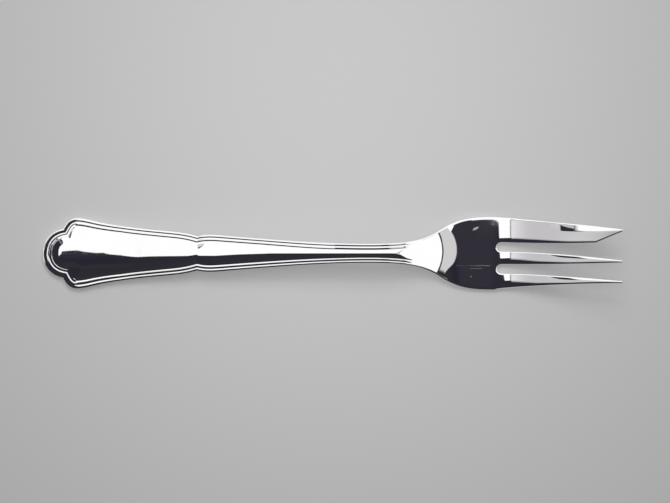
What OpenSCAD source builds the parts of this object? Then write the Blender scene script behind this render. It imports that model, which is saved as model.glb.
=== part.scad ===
// A pastry fork, pressed and forged from one blank. Its handle has a lobed end and a double
// thread along the edge, and its head has a broad cutting tine and two narrow ones. The
// handle's end points along -X, the tines along +X and the cutting tine lies on the +Y side.
// The fork rests on z = 0, on the flat back of the handle's end and on the belly of the head.
// Places along the fork are measured from the handle's end.

/* [Overall] */
// Length from the handle's end to the tips of the tines
fork_l = 150; // [135:1:165]

/* [Handle outline] */
// Length of the rounded end, up to where its sides run along the fork
end_l = 6.7; // [6:0.1:7.4]
// Place of the notches between the rounded end and the lobes
notch_x = 5.2; // [4.6:0.1:5.6]
// Width across the notches
notch_w = 12.7; // [12:0.1:13.2]
// Place of the lobes, where the handle is widest
lobe_x = 8.8; // [8.4:0.2:10]
// Width across the lobes
lobe_w = 18.3; // [17:0.5:20]
// Place of the shoulder points
shoulder_x = 40; // [34:1:44]
// Width across the shoulder points
shoulder_w = 9; // [8:0.2:10]
// Distance from the shoulder points to the fullest place behind them
swell_l = 3.4; // [2.5:0.1:5]
// Width at that place
swell_w = 9.7; // [9.2:0.1:11]
// Place of the neck, where the fork is narrowest
neck_x = 84; // [76:1:90]
// Width of the neck
neck_w = 5; // [4.8:0.1:6]

/* [Handle face] */
// Width of the outer thread, which is also the rim
rim_w = 0.9; // [0.7:0.02:1]
// Width of the inner thread
thread_w = 0.84; // [0.7:0.02:0.96]
// Depth of the grooves beside the threads
groove_d = 0.26; // [0.1:0.02:0.4]
// Width of the slope from the inner groove up to the panel
step_w = 0.3; // [0.2:0.02:0.4]
// Height of the panel's crown above the threads
crown_h = 0.45; // [0.2:0.05:0.8]
// Half width of the panel from which its crown has its full height
crown_reach = 3; // [2:0.25:5]

/* [Head outline] */
// Place where the head is widest
palm_x = 115.5; // [112:0.5:116]
// Width of the head
head_w = 19; // [18:0.5:21]
// Place where the slots between the tines end
root_x = 117.7; // [116.7:0.5:121.7]
// Width of the slots at their round ends
slot_w = 2.1; // [1.7:0.1:2.5]
// Width of the cutting tine at the slots' ends
cut_w = 6.8; // [6:0.1:7.4]
// Width of the middle tine at the slots' ends
mid_w = 3.6; // [3:0.1:4]

/* [Tines] */
// Width of each tine's point
tip_w = 0.75; // [0.6:0.05:1]
// Distance of the cutting tine's point from the middle line
cut_tip_y = 5.95; // [5.4:0.05:6.4]
// Distance of the middle tine's point from the middle line
mid_tip_y = 2.12; // [1.8:0.02:2.5]
// Distance of the outer tine's point from the middle line
out_tip_y = 7.45; // [7:0.05:8]
// Length of the slanted end of the cutting tine
slant_l = 6.9; // [5:0.1:9]
// Distance of that end's corner from the middle line
slant_y = 2.6; // [2.2:0.1:3]
// Farthest that a tine's long edge bows outwards
tine_bow = 0.35; // [0:0.05:0.5]
// Height of the crown across a tine
tine_crown = 0.12; // [0:0.02:0.3]

/* [Side view] */
// Length of the flat back that the handle's end rests on
rest_l = 16; // [12:1:22]
// Place of the highest part of the arch, at the neck
arch_x = 86; // [83:1:90]
// Height of the arch, under the neck
arch_z = 6.4; // [5:0.2:9]
// Place of the belly, the lowest part of the head
belly_x = 112.5; // [110:0.5:115]
// Height of the tips, under the tines
tip_z = 10.8; // [8:0.2:13]

/* [Thickness] */
// Thickness at the rim of the handle's end
end_t = 2; // [1.6:0.1:2.6]
// Thickness of the neck beside its crown
neck_t = 2.9; // [2.4:0.1:3.6]
// Thickness of the head at the slots' ends
palm_t = 1.7; // [1.4:0.1:2.2]
// Thickness of the tines at their points
tip_t = 1.1; // [0.9:0.05:1.4]
// Radius of the edges all round
edge_r = 0.4; // [0.2:0.02:0.44]

/* [Hidden] */

// How full the rounded end is: 2 makes it an ellipse, and more makes it squarer
end_full_share = 2.15;
// Bends of the outline and the side view. Each row has the share of the stretch's length, the
// share of its rise, and the slope there as a share of the stretch's mean slope.
taper_shares = [[0, 0, 0], [0.18, 0.22, 1.4], [0.44, 0.5, 0.87], [0.81, 0.76, 0.67], [1, 1, 2]];
swell_shares = [[0, 0, 2.4], [1, 1, 0]];
waist_shares = [[0, 0, 0], [0.1, 0.11, 1.45], [0.57, 0.735, 1.08], [1, 1, 0]];
flare_shares = [[0, 0, 0], [0.286, 0.05, 0.45], [0.603, 0.527, 3.05], [1, 1, 0]];
cut_edge_shares = [[0, 0, 0], [0.26, 0.18, 1.12], [0.67, 0.6, 1], [1, 1, 1.3]];
arch_shares = [[0, 0, 0], [0.12, 0.07, 1.15], [0.85, 0.91, 1.15], [1, 1, 0]];
drop_shares = [[0, 0, 0], [0.3, 0.24, 1.4], [0.6, 0.71, 1.36], [1, 1, 0]];
rise_shares = [[0, 0, 0], [0.23, 0.1, 0.87], [0.49, 0.4, 1.3], [1, 1, 1.1]];

// Where an edge's rounding passes, as a share of its radius from both faces
corner_share = 0.29;
// Where the threads fade out, as shares of the stretch from the neck to the palm
fade_shares = [0.2, 0.53];
// Places of the middle rows of the panel, from its edge to the middle line
panel_shares = [0.36, 0.7];
// Where the fan of rows at the handle's end first meets the middle line
fan_share = 0.42;
// Rows across the outer tines, from the rounded edge to the slot's rounded edge
wide_shares = [0.12, 0.3, 0.52, 0.76];
// Rows across the middle tine
mid_shares = [0.25, 0.5, 0.75];
// Bow of the tines' long edges: the cutting tine's slot side, then both sides of the others
bow_shares = [0.6, 1.15, 0.45, 0.8, 1.1];
// Most of a tine's width or thickness that one rounded edge may take
round_share = 0.4;
// Where along the tines their crown is full
crown_share = 0.5;
// How thin the tines' points become, as a share of tip_t
point_share = 0.55;

// How far round its end a tine's point goes before its flat tip
point_a = 75;
// Steps round the end, a lobe, a slot's end and a tine's point
end_n = 11;
lobe_n = 7;
slot_n = 4;
tip_n = 3;
// Longest steps along the handle and along the tines
side_step = fork_l / 100;
tine_step = fork_l / 90;

// Rows of a ring: over the top from the +Y edge to the -Y edge, then back under the fork
top_n = 19;
back_n = 7;
ring_n = top_n + back_n;
// Numbers of the rows along the middle, and of those where the slots part the palm
mid_n = (top_n - 1) / 2;
back_mid_n = top_n + (back_n - 1) / 2;
top_seam_n = [mid_n - 2, mid_n + 2];
back_seam_n = [back_mid_n + 1, back_mid_n - 1];
// Points of a ring round one tine
tine_n = 14;

function lerp(a, b, t) = a + (b - a) * t;
function part_of(x, a, b) = max(0, min(1, (x - a) / (b - a)));
function ease(t) = t * t * (3 - 2 * t);
function unit(v) = v / norm(v);
function steps(a, b, step) = let (n = ceil((b - a) / step)) [for (i = [1 : n]) lerp(a, b, i / n)];

// Knots [place, value, slope] of a stretch from p to q, bent as its table of shares says
function knots(shares, p, q) = [
    for (s = shares) [lerp(p.x, q.x, s[0]), lerp(p.y, q.y, s[1]), s[2] * (q.y - p.y) / (q.x - p.x)]
];

// Value and slope at place x of the smooth curve through knots
function cubic(k, x) =
    let (i = max(0, min(len(k) - 2, len([for (q = k) if (q[0] <= x) 1]) - 1)))
    let (w = k[i + 1][0] - k[i][0])
    let (t = max(0, min(1, (x - k[i][0]) / w)))
    let (rise = k[i + 1][1] - k[i][1])
    [
        k[i][1] + rise * ease(t) + w * t * (1 - t) * (k[i][2] * (1 - t) - k[i + 1][2] * t),
        rise / w * 6 * t * (1 - t) + k[i][2] * (1 - t) * (1 - 3 * t) + k[i + 1][2] * t * (3 * t - 2)
    ];

// Side view: height of the back and thickness of the metal at place x
arch_knots = knots(arch_shares, [rest_l, 0], [arch_x, arch_z]);
drop_knots = knots(drop_shares, [arch_x, arch_z], [belly_x, 0]);
rise_knots = knots(rise_shares, [belly_x, 0], [fork_l, tip_z]);
function back_z(x) =
    x < rest_l ? 0
    : x < arch_x ? cubic(arch_knots, x)[0]
    : x < belly_x ? cubic(drop_knots, x)[0]
    : cubic(rise_knots, x)[0];
function thick(x) =
    x < neck_x ? lerp(end_t, neck_t, ease(part_of(x, 0, neck_x)))
    : x < root_x ? lerp(neck_t, palm_t, ease(part_of(x, neck_x, root_x)))
    : lerp(palm_t, tip_t, part_of(x, root_x, fork_l));

// Half the width of the handle, the neck and the palm at place x, with its slope
lobe_top = [lobe_x, lobe_w / 2];
shoulder = [shoulder_x, shoulder_w / 2];
swell = [shoulder_x + swell_l, swell_w / 2];
neck = [neck_x, neck_w / 2];
palm = [palm_x, head_w / 2];
taper_knots = knots(taper_shares, lobe_top, shoulder);
swell_knots = knots(swell_shares, shoulder, swell);
waist_knots = knots(waist_shares, swell, neck);
flare_knots = knots(flare_shares, neck, palm);
function half_w(x) =
    x < shoulder.x ? cubic(taper_knots, x)
    : x < swell.x ? cubic(swell_knots, x)
    : x < neck.x ? cubic(waist_knots, x)
    : cubic(flare_knots, x);

// The rounded end is a fuller ellipse that passes through the notch. Its points and inward
// normals are taken by an angle that is 0 at the handle's end.
notch = [notch_x, notch_w / 2];
notch_end_a = acos(pow(1 - notch_x / end_l, end_full_share / 2));
end_half_w = notch.y / pow(sin(notch_end_a), 2 / end_full_share);
function end_point(a) =
    [end_l * (1 - pow(cos(a), 2 / end_full_share)), end_half_w * pow(sin(a), 2 / end_full_share)];
function end_normal(a) =
    let (q = 2 - 2 / end_full_share)
    unit([pow(cos(a), q) / end_l, -pow(sin(a), q) / end_half_w]);

// Each lobe is an arc from the notch to the lobe's widest place
lobe_rise = lobe_w / 2 - notch.y;
lobe_run = lobe_x - notch_x;
lobe_r = (lobe_run * lobe_run + lobe_rise * lobe_rise) / (2 * lobe_rise);
lobe_c = [lobe_x, lobe_w / 2 - lobe_r];
notch_lobe_a = atan2(notch.y - lobe_c.y, lobe_run);

// At a corner the threads run on to a point, along the sum of the inward normals a and b
function mitre(a, b) = (a + b) * 2 / pow(norm(a + b), 2);
function normal_of(slope) = unit([slope, -1]);

// Where the palm ends and the rows part round the slots
palm_end_x = root_x - edge_r;

// Stations along the +Y outline: the point there and the inward normal
end_stations = [
    for (i = [0 : end_n - 1]) let (a = notch_end_a * i / end_n)
    [end_point(a), end_normal(a)]
];
notch_station = [[notch, mitre(end_normal(notch_end_a), unit(lobe_c - notch))]];
lobe_stations = [
    for (i = [1 : lobe_n]) let (a = lerp(notch_lobe_a, 90, i / lobe_n))
    [lobe_c + lobe_r * [-cos(a), sin(a)], [cos(a), -sin(a)]]
];
shoulder_normal = mitre(normal_of(cubic(taper_knots, shoulder_x)[1]), normal_of(half_w(shoulder_x)[1]));
side_stations = [
    for (x = concat(
        steps(lobe_x, shoulder_x, side_step),
        steps(shoulder_x, swell.x, side_step),
        steps(swell.x, neck_x, side_step),
        steps(neck_x, palm_end_x, side_step)
    ))
    [[x, half_w(x)[0]], x == shoulder_x ? shoulder_normal : normal_of(half_w(x)[1])]
];
stations = concat(end_stations, notch_station, lobe_stations, side_stations);
last = len(stations) - 1;
fan_n = end_n + lobe_n;

// Where a station's rows meet the middle line
function foot_x(i) = i < fan_n ? lerp(lobe_x * fan_share, lobe_x, i / fan_n) : stations[i][0].x;

// The handle's face from the edge inwards: distance from the outline and height over the rim
face_rows = [
    [0, -edge_r],
    [edge_r * corner_share, -edge_r * corner_share],
    [rim_w / 2, 0],
    [rim_w, -groove_d],
    [rim_w + thread_w / 2, 0],
    [rim_w + thread_w, -groove_d],
    [rim_w + thread_w + step_w, 0]
];
crown_rise = [for (s = concat(panel_shares, [1])) s * (2 - s)];

// Point of the handle's face in row j from the edge at station i, as [x, y, height]
function face_point(i, j) =
    let (p = stations[i][0], n = stations[i][1], foot = [foot_x(i), 0])
    let (panel_edge = p + n * face_rows[6][0])
    let (crown = crown_h * min(1, norm(foot - panel_edge) / crown_reach))
    j < 7 ? [each (p + n * face_rows[j][0]), face_rows[j][1]]
    : let (s = j == mid_n ? 1 : panel_shares[j - 7])
      [each lerp(panel_edge, foot, s), crown * crown_rise[j - 7]];

// The slots' middle lines, and the y of both sides of each tine at the slots' ends
cut_root = [head_w / 2, head_w / 2 - cut_w];
mid_root = [cut_root[1] - slot_w, cut_root[1] - slot_w - mid_w];
out_root = [mid_root[1] - slot_w, -head_w / 2];
slot_y = [(cut_root[1] + mid_root[0]) / 2, (mid_root[1] + out_root[0]) / 2];

// Rows across an outer tine, from its outline at y = a to its inner rounded edge at y = b,
// with edges of radius r, and rows across the middle tine between rounded edges
function wide_rows(a, b, r) =
    let (s = sign(a - b))
    let (top = a - s * r)
    concat([a, a - s * r * corner_share, top], [for (u = wide_shares) lerp(top, b, u)], [b]);
function mid_rows(a, b) = [for (u = mid_shares) lerp(a, b, u)];

// All rows of the palm where the head's half width is w
function palm_rows(w) =
    let (k = w / (head_w / 2))
    let (a = slot_y[0] * k, b = slot_y[1] * k)
    let (low = wide_rows(-w, b, edge_r))
    concat(wide_rows(w, a, edge_r), mid_rows(a, b), [for (j = [7 : -1 : 0]) low[j]]);

// Height of row j of the palm over its face
function palm_drop(j) =
    let (e = min(j, top_n - 1 - j))
    e == 0 ? -edge_r : e == 1 ? -edge_r * corner_share : 0;

// Ring of the handle, the neck and the palm at station i
function fade(x) = ease(part_of(x, lerp(neck_x, palm_x, fade_shares[0]), lerp(neck_x, palm_x, fade_shares[1])));
function ring(i) =
    let (x = stations[i][0].x, w = stations[i][0].y)
    let (f = fade(x), rows = palm_rows(w))
    let (top = [
        for (j = [0 : top_n - 1])
        let (e = min(j, top_n - 1 - j), q = face_point(i, e))
        let (side = j <= mid_n ? 1 : -1)
        let (at = lerp([q.x, q.y * side, q.z], [x, rows[j], palm_drop(j)], f))
        [at.x, at.y, back_z(at.x) + thick(at.x) + at.z]
    ])
    let (edge = stations[i][0], inner = lerp(edge + stations[i][1] * edge_r, [x, w - edge_r], f))
    let (foot = foot_x(i))
    let (back = [
        [edge.x, -edge.y, edge_r],
        [inner.x, -inner.y, 0],
        [lerp(lerp(inner.x, foot, 0.5), x, f), lerp(-inner.y * 0.5, rows[top_seam_n[1]], f), 0],
        [lerp(foot, x, f), rows[mid_n] * f, 0],
        [lerp(lerp(inner.x, foot, 0.5), x, f), lerp(inner.y * 0.5, rows[top_seam_n[0]], f), 0],
        [inner.x, inner.y, 0],
        [edge.x, edge.y, edge_r]
    ])
    concat(top, [for (b = back) [b.x, b.y, back_z(b.x) + b.z]]);

// The tines' edges at place x: +Y side first. A long edge is a line that bows outwards.
straight_x = root_x + slot_w / 2;
slant_x = fork_l - slant_l;
cut_edge_knots = knots(cut_edge_shares, palm, [fork_l, cut_tip_y + tip_w / 2]);
function bowed(x, a, b, bow) = let (t = (x - a.x) / (b.x - a.x)) lerp(a.y, b.y, t) + bow * 4 * t * (1 - t);
function edge_y(x, root_y, tip_y, share) =
    bowed(x, [straight_x, root_y], [fork_l, tip_y], tine_bow * share);
function cut_sides(x) = [
    cubic(cut_edge_knots, x)[0],
    x < slant_x
        ? bowed(x, [straight_x, cut_root[1]], [slant_x, slant_y], -tine_bow * bow_shares[0])
        : lerp(slant_y, cut_tip_y - tip_w / 2, (x - slant_x) / slant_l)
];
function mid_sides(x) = [
    edge_y(x, mid_root[0], tip_w / 2 - mid_tip_y, bow_shares[1]),
    edge_y(x, mid_root[1], -tip_w / 2 - mid_tip_y, -bow_shares[2])
];
function out_sides(x) = [
    edge_y(x, out_root[0], tip_w / 2 - out_tip_y, bow_shares[3]),
    bowed(x, [palm_x, -head_w / 2], [fork_l, -tip_w / 2 - out_tip_y], -tine_bow * bow_shares[4])
];

// Stations of the tines: place, the part of the slots' round ends that is passed, and how
// far the tines are drawn in at their points
tine_places = concat(steps(straight_x, slant_x, tine_step), steps(slant_x, fork_l - tip_w / 2, tine_step));
tine_stations = concat(
    [for (i = [1 : slot_n]) [lerp(palm_end_x, straight_x, i / slot_n), i / slot_n, 1]],
    [for (x = tine_places) [x, 1, 1]],
    [for (i = [1 : tip_n]) let (a = point_a * i / tip_n)
        [fork_l - tip_w / 2 * (1 - sin(a) / sin(point_a)), 1, cos(a)]]
);

// The rounding of a tine's edge from the face down to the back: points at distances from
// the edge along n and at heights over the back, t being the thickness and lift a raise of all
function round_points(edge, n, r, t, lift) = [
    for (q = [[r, t], [r * corner_share, t - r * corner_share], [0, t - r], [0, r], [r, 0]])
    let (at = edge + n * q[0])
    [at.x, at.y, back_z(at.x) + lift + q[1]]
];

// Ring of one tine at station s, between its sides. on_slot says which sides face a slot,
// and slots gives those slots' middle lines.
function tine_ring(s, sides, on_slot, slots) =
    let (x = s[0], a = 90 * s[1], full_t = thick(x), t = full_t * lerp(point_share, 1, s[2]))
    let (slot_x = s[1] < 1 ? root_x + slot_w / 2 * (1 - cos(a)) : x)
    let (in_y = [-1, 1], mid_y = (sides[0] + sides[1]) / 2)
    let (y = [for (i = [0, 1]) lerp(mid_y, sides[i], s[2])])
    let (r = min(edge_r, round_share * min(y[0] - y[1], t)))
    let (lift = (full_t - t) / 2, z = back_z(x) + lift)
    let (rounds = [
        for (i = [0, 1])
        on_slot[i]
            ? round_points(
                [slot_x, s[1] < 1 ? slots[i] + in_y[i] * slot_w / 2 * sin(a) : y[i]],
                [-cos(a), in_y[i] * sin(a)], r, t, lift)
            : round_points([x, y[i]], [0, in_y[i]], r, t, lift)
    ])
    let (bound = [for (i = [0, 1]) let (b = y[i] + in_y[i] * r) on_slot[i] ? lerp(slots[i], b, s[1]) : b])
    let (full = ease(part_of(x, root_x, lerp(root_x, fork_l, crown_share))))
    let (crown = tine_crown * full * min(1, (y[0] - y[1]) / mid_w))
    let (middle = on_slot[0] && on_slot[1], wide_n = len(wide_shares))
    let (shares = middle ? mid_shares : on_slot[1] ? wide_shares
        : [for (i = [wide_n - 1 : -1 : 0]) 1 - wide_shares[i]])
    concat(
        [for (k = [2, 1, 0]) rounds[0][k]],
        [for (u = shares) [x, lerp(bound[0], bound[1], u), z + t + crown * 4 * u * (1 - u)]],
        rounds[1],
        middle ? [[x, (bound[0] + bound[1]) / 2, z]] : [],
        [for (k = [4, 3]) rounds[0][k]]
    );

// The slots' ends at the palm's last ring: rounded corner, wall at the face, wall at the back
function root_points(y) =
    let (p = round_points([root_x, y], [-1, 0], edge_r, thick(palm_end_x), 0))
    [p[1], p[2], p[3]];

// All points: rings of handle and palm, the slots' ends, then three rings at each tine station
body_points = [for (i = [0 : last]) each ring(i)];
root_at = len(body_points);
tine_at = root_at + 6;
points = concat(
    body_points,
    root_points(slot_y[0]),
    root_points(slot_y[1]),
    [for (s = tine_stations) each concat(
        tine_ring(s, cut_sides(s[0]), [false, true], [0, slot_y[0]]),
        tine_ring(s, mid_sides(s[0]), [true, true], slot_y),
        tine_ring(s, out_sides(s[0]), [true, false], [slot_y[1], 0])
    )]
);

// Numbers of the points in a ring. At the handle's end both halves of the ring are one.
function body_ids(i) = [
    for (k = [0 : ring_n - 1])
    i > 0 ? i * ring_n + k : k < top_n ? min(k, top_n - 1 - k) : max(k, 2 * back_mid_n - k)
];
function range(a, n) = [for (k = [0 : n - 1]) a + k];
function tine_ids(i, m) = range(tine_at + (3 * i + m) * tine_n, tine_n);

// The points of the palm's last ring and the slots' ends that each tine starts from
function palm_ids(a, b) = [for (k = [a : b]) last * ring_n + k];
slot_a = range(root_at, 3);
slot_b = range(root_at + 3, 3);
tine_starts = [
    concat(palm_ids(0, top_seam_n[0]), slot_a, palm_ids(back_seam_n[0], ring_n - 1)),
    concat([slot_a[1], slot_a[0]], palm_ids(top_seam_n[0], top_seam_n[1]), slot_b,
        palm_ids(back_seam_n[1], back_seam_n[0]), [slot_a[2]]),
    concat([slot_b[1], slot_b[0]], palm_ids(top_seam_n[1], back_seam_n[1]), [slot_b[2]])
];

// Triangles between two rings of as many points, a behind b. Each four-sided field between
// them is split along its shorter diagonal.
function skin(a, b) = let (n = len(a)) [
    for (k = [0 : n - 1]) let (j = (k + 1) % n)
    each norm(points[b[k]] - points[a[j]]) < norm(points[a[k]] - points[b[j]])
        ? [[a[k], b[k], a[j]], [b[k], b[j], a[j]]]
        : [[a[k], b[k], b[j]], [a[k], b[j], a[j]]]
];
tine_last = len(tine_stations) - 1;
faces = concat(
    [for (i = [0 : last - 1]) each skin(body_ids(i), body_ids(i + 1))],
    [for (m = [0 : 2]) each skin(tine_starts[m], tine_ids(0, m))],
    [for (m = [0 : 2], i = [0 : tine_last - 1]) each skin(tine_ids(i, m), tine_ids(i + 1, m))],
    [for (m = [0 : 2]) let (ids = tine_ids(tine_last, m)) [for (k = [tine_n - 1 : -1 : 0]) ids[k]]]
);

module fork()
    color("silver")
    translate([-fork_l / 2, 0, 0])
    polyhedron(points = points, faces = faces, convexity = 8);

fork();
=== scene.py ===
"""A pastry fork of polished steel on a pale floor, seen straight from above.

The fork is one mesh. Its points follow the same named sizes as the solid it stands for, with
finer rows across the threads, the panel, the palm and the tines. Sizes are in millimetres
until a mesh is made, and places along the fork are measured from the handle's end. A table is
rows of place and value, with straight runs between them.
"""

import math

import bpy
import numpy as np
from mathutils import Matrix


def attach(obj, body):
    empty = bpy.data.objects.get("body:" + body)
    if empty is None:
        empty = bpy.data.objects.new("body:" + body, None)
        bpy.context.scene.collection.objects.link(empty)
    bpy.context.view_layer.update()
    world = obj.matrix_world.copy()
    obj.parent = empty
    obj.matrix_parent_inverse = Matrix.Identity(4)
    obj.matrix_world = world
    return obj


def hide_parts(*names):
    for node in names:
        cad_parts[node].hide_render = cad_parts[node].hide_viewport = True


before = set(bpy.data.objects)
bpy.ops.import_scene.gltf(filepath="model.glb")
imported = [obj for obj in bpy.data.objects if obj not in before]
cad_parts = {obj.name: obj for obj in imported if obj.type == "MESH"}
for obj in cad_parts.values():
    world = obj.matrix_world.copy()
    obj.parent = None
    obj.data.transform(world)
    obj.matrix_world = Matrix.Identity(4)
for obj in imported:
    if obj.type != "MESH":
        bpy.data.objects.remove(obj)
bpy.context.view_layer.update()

MM = 0.001

# Overall and handle outline
FORK_L = 150.0
END_L = 6.7
END_FULL = 2.15
NOTCH = np.array([5.2, 6.35])
LOBE = np.array([8.8, 9.15])
LOBE_A = math.radians(64)
LOBE_REACH = (1.6, 1.9)
SHOULDER = np.array([40.0, 4.5])
SWELL = np.array([43.4, 4.85])
NECK = np.array([84.0, 2.5])

# Head outline
PALM = np.array([115.5, 9.5])
ROOT_X = 117.7
SLOT_W = 2.1
CUT_W = 6.8
MID_W = 3.6
TIP_W = 0.75
CUT_TIP_Y = 5.95
MID_TIP_Y = 2.12
OUT_TIP_Y = 7.45
SLANT_L = 6.9
SLANT_Y = 2.6
STRAIGHT_X = ROOT_X + SLOT_W / 2
SLANT_X = FORK_L - SLANT_L
# How far the tines' sides bow: the cutting tine's inner side, then both sides of the others
TINE_BOW = 0.35
CUT_BOW = -0.6 * TINE_BOW
MID_BOWS = (1.15 * TINE_BOW, -0.45 * TINE_BOW)
OUT_BOWS = (0.8 * TINE_BOW, 1.1 * TINE_BOW)

# Side view and thickness
REST_L = 16.0
ARCH = np.array([86.0, 6.4])
BELLY_X = 112.5
TIP_Z = 10.8
END_T = 2.0
NECK_T = 2.9
PALM_T = 1.7
TIP_T = 1.1
THINNING_X = 114
# A slight early rise of the handle's face: height, and places of its start, top and end
ONSET = 0.13
ONSET_X = (9, 23, 60)
# The dish of the palm: depth, and the places over which it comes and goes
PALM_DIP = 0.2
DIP_X = (100, 107)
DIP_END_X = (113, 134)

# Bends of the outline and the side view: share of the length, share of the rise, slope
TAPER = [(0, 0, 0), (0.18, 0.22, 1.4), (0.44, 0.5, 0.87), (0.81, 0.76, 0.67), (1, 1, 2)]
SWELL_BEND = [(0, 0, 2.4), (1, 1, 0)]
WAIST = [(0, 0, 0), (0.1, 0.11, 1.45), (0.57, 0.735, 1.08), (1, 1, 0)]
FLARE = [(0, 0, 0), (0.286, 0.05, 0.45), (0.603, 0.527, 3.05), (1, 1, 0)]
CUT_EDGE = [(0, 0, 0), (0.26, 0.18, 1.12), (0.67, 0.6, 1), (1, 1, 1.3)]
RISE_TO_ARCH = [(0, 0, 0), (0.12, 0.07, 1.15), (0.85, 0.91, 1.15), (1, 1, 0)]
DROP_TO_BELLY = [(0, 0, 0), (0.3, 0.24, 1.4), (0.6, 0.71, 1.36), (1, 1, 0)]
RISE_TO_TIP = [(0, 0, 0), (0.23, 0.1, 0.87), (0.49, 0.4, 1.3), (1, 1, 1.1)]

# The rim and the two grooves beside the threads, from the edge inwards
EDGE_R = 0.4
RIM_ROUND = 0.46
RIM_DROP = 0.25
GROOVES = (0.77, 1.66)
GROOVE_STEEP = 0.3
GROOVE_GENTLE = 0.5
GENTLE_POWER = 1.4
GROOVE_DEPTH = 0.13
THREADS_END_X = (92.5, 97)
THREAD_SCALE = ((0, 1.34), (3, 1.34), (6, 1.22), (10, 1.2), (20, 1), (45, 1), (78, 0.8), (150, 0.8))
# Along the neck the threads of the +Y side are wider
UPPER_THREAD_SHARE = 0.2
UPPER_THREAD_X = (55, 75)

# Cut of the face round the handle's end by depth: the -Y side, the +Y side and the +Y lobe
END_CUTS = (
    ((0.42, 0.22), (1.05, 0.11), (1.33, 0), (1.63, 0.08), (2.2, -0.03), (2.36, 0)),
    ((0.42, 0), (1.08, 0.14), (1.38, 0.02), (1.75, 0.045), (2.2, -0.03), (2.36, 0)),
    ((0.42, 0), (1.08, 0.14), (1.38, 0.02), (1.62, 0.09), (2.36, 0.02), (3, 0)),
)
END_RIM = 0.42
# Where the -Y side's cut turns into the +Y side's, that into the lobe's, and all into grooves
END_SIDE_Y = (-1.5, 1)
NEAR_LOBE_X = (3, 5)
END_X = (7.5, 9.5)

# The crowned panel inside the threads
PANEL_EDGE = 1.76
FACE_DEPTH = 2.1
CROWN_H = 0.38
CROWN_REACH = 1.5
CROWN_SPARE = 0.7
CROWN_END_X = (89.5, 96.5)
FAN_SHARE = 0.48
# Ridge of the panel's crown: distance from the middle line by place
RIDGE = ((28, 0), (38, -0.3), (45, -0.38), (51, -0.12), (57, 0), (80, -0.05), (87, -0.3))
# The roll at the panel's edge: slope, softness, least width near the middle line at the end,
# width by place, and the slope after it
ROLL_SLOPE = 0.21
ROLL_SOFT = 0.04
END_ROLL_W = 1.7
END_ROLL_Y = (2, 4)
ROLL_W = ((0, END_ROLL_W), (5, 1.6), (6.8, 0.8), (8, 0.1), (12, 0.1), (40, 1.4), (41, 9))
AFTER_ROLL = 0.075
# Near the handle's end the panel's true edge line counts, and beyond it the rows' own depth
PANEL_LINE_L = 30
PANEL_LINE_X = (20, 24)

# A tongue from the neck runs out over the thinner palm: bend, middle line and places
TONGUE_BEND = 0.035
TONGUE_Y = 0.5
TONGUE_X = (86, 94)
TONGUE_END_X = (103.5, 109)

# The palm's and tines' edges, and where the handle's rim and rows turn into the palm's
PALM_ROUND = 0.6
PALM_EDGE_X = (95, 108)
PALM_ROWS_X = (98, 109)
TINE_ROUND = 0.35
TINE_ROUND_X = (ROOT_X, 134)
BACK_R = 0.4
POINT_SHARE = 0.55
POINT_A = math.radians(75)
ROUND_SHARE = 0.4

# The ground bevel on each tine's upper side: where it starts across the tine, by place
BEVEL_Y = (
    ((131.0, 5.65), (143.0, 5.65), (150.0, 5.95)),
    ((131.3, -0.25), (135.1, -0.85), (139.2, -1.25), (150, -2.12)),
    ((131.3, -5.85), (133.5, -6.3), (136.7, -6.72), (150, -7.45)),
)
# Slope of the bevel and its softness, by place
BEVEL_SLOPE = (
    ((131, 0), (134.3, 0.056), (137.4, 0.115), (139.4, 0.15), (144, 0.22), (150, 0.25)),
    ((129.5, 0), (131.5, 0.16), (137.5, 0.17), (141, 0.22), (150, 0.24)),
    ((129.5, 0), (131.5, 0.16), (136, 0.17), (139, 0.22), (150, 0.24)),
)
BEVEL_SOFT = (
    ((131, 0.05), (150, 0.1)),
    ((130, 0.3), (133, 0.85), (137.5, 0.9), (141, 0.12), (150, 0.05)),
    ((130, 0.3), (132, 0.85), (135, 0.9), (139, 0.12), (150, 0.05)),
)
# A narrow lip on the cutting tine's upper edge before the bevel, and its slope, by place
LIP_Y = ((131.2, 8.25), (133.9, 7.5), (137, 7.2))
LIP_SLOPE = ((130.5, 0), (131.5, 0.09), (133.5, 0.05), (135.5, 0))
# Width and drop of the soft lower edge of each tine
SOFT_W = (
    ((117.3, 0.02), (118.6, 1.2), (122.5, 1.6), (128, 1.4), (136, 0.8), (150, 0.5)),
    ((117.3, 0.02), (118.6, 1.6), (121, 1.9), (124, 1.7), (128, 1.2), (136, 0.75), (150, 0.5)),
    ((117.3, 0.02), (119.8, 2.0), (121.5, 2.1), (124, 1.7), (128, 1.1), (136, 0.7), (150, 0.5)),
)
SOFT_DROP = 0.24
# Tilt of the face under the bevel, by place
LOWER_TILT = ((134, 0), (148, 0.06))

# Rows round a ring
ROUND_N = 7
BACK_ROUND_N = 4
WIDE_N = 44
MID_N = 39
BACK_WIDE_N = 8
BACK_MID_N = 7
THREAD_ROWS = 41
SEAM = ROUND_N + 1 + WIDE_N
HALF_N = SEAM + (MID_N + 1) // 2
TOP_N = 2 * HALF_N + 1
BACK_SEAM = BACK_ROUND_N + 1 + BACK_WIDE_N
BACK_N = 2 * BACK_SEAM + 2 + BACK_MID_N
RING_N = TOP_N + BACK_N
PANEL_ROWS = HALF_N - ROUND_N - THREAD_ROWS

# Rings along the end, the first part of the lobe, the taper and the rest up to the slots
END_N = 60
LOBE_N = 55
LOBE_S = 6
TAPER_N = 99
REST_N = 229
# Over these lengths beside a corner of the outline the rows lean into it
NOTCH_LEAN = 4
SHOULDER_LEAN = 3
# Rings round the slots' ends, along the tines, along the slant and round the tines' tips
SLOT_N = 24
TINE_N = 55
SLANT_N = 17
TIP_N = 8
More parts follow.
